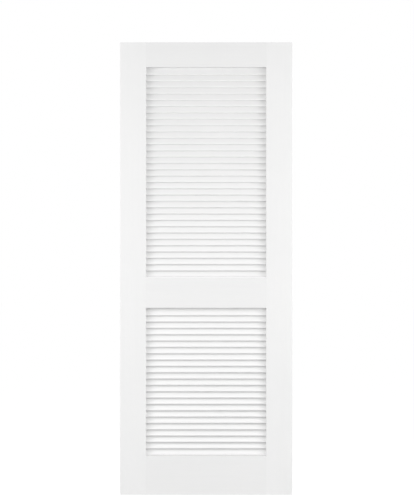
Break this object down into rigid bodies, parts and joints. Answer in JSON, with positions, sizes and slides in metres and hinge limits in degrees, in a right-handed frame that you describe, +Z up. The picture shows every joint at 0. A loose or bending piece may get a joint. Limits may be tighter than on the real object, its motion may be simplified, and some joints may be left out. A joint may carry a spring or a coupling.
{
  "type": "interior louvre door slab",
  "caption": "White painted wooden interior door slab, blank at its edges, with fixed slanted slats in a tall upper and a short lower opening parted by a lock rail.",
  "frame": {"origin": "bottom of the hinge edge, at mid thickness", "axes": "+X from the hinge edge to the latch edge, +Y from the front face to the back face, +Z up"},
  "size_m": [0.8, 0.04, 2.1],
  "materials": {
    "painted_frame": "white satin paint",
    "painted_slats": "white satin paint"
  },
  "bodies": {
    "root": {"hinge_stile": "painted_frame", "latch_stile": "painted_frame", "top_rail": "painted_frame", "lock_rail": "painted_frame", "bottom_rail": "painted_frame", "upper_slats_01_02": "painted_slats", "upper_slats_03_04": "painted_slats", "upper_slats_05_06": "painted_slats", "upper_slats_07_08": "painted_slats", "upper_slats_09_10": "painted_slats", "upper_slats_11_12": "painted_slats", "upper_slats_13_14": "painted_slats", "upper_slats_15_16": "painted_slats", "upper_slats_17_18": "painted_slats", "upper_slats_19_20": "painted_slats", "upper_slats_21_22": "painted_slats", "upper_slats_23_24": "painted_slats", "upper_slats_25_26": "painted_slats", "upper_slats_27_28": "painted_slats", "upper_slats_29_30": "painted_slats", "upper_slats_31_32": "painted_slats", "upper_slats_33": "painted_slats", "lower_slats_01_02": "painted_slats", "lower_slats_03_04": "painted_slats", "lower_slats_05_06": "painted_slats", "lower_slats_07_08": "painted_slats", "lower_slats_09_10": "painted_slats", "lower_slats_11_12": "painted_slats", "lower_slats_13_14": "painted_slats", "lower_slats_15_16": "painted_slats", "lower_slats_17_18": "painted_slats", "lower_slats_19_20": "painted_slats", "lower_slats_21_22": "painted_slats", "lower_slats_23": "painted_slats"}
  },
  "joints": []
}
